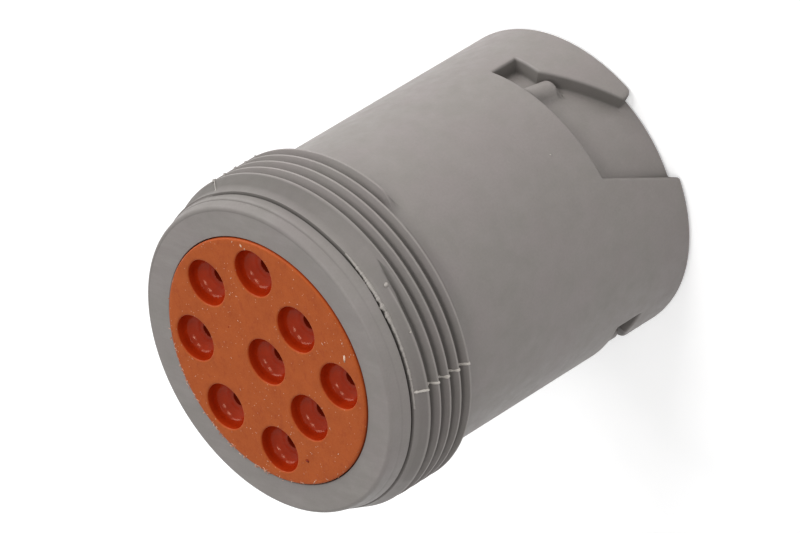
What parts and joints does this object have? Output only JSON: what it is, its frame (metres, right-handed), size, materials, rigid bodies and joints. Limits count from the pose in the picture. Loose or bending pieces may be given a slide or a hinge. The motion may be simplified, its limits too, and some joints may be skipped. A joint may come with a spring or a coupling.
{
  "type": "circular connector plug",
  "caption": "Round moulded plastic multi-pin connector half with bayonet tracks, rear thread and an orange rubber wire seal, made to join cables on vehicles and machines.",
  "frame": {"origin": "centre of the mating rim, at the base of the part", "axes": "+Z along the connector's axis from the mating rim to the wire seal; +X through the main key and the contact place nearest the mould's parting line"},
  "size_m": [0.0348, 0.0348, 0.0429],
  "materials": {
    "shell": "moulded, slightly satin",
    "seal": "silicone rubber, satin",
    "insert": "moulded, matte",
    "contact": "nickel plated copper alloy, turned"
  },
  "bodies": {
    "root": {"shell": "shell", "wire_seal": "seal", "contact_retainer": "insert", "front_insert": "insert", "interface_seal": "seal", "contact_a": "contact", "contact_b": "contact", "contact_c": "contact", "contact_d": "contact", "contact_e": "contact", "contact_f": "contact", "contact_g": "contact", "contact_h": "contact", "contact_j": "contact"}
  },
  "joints": []
}
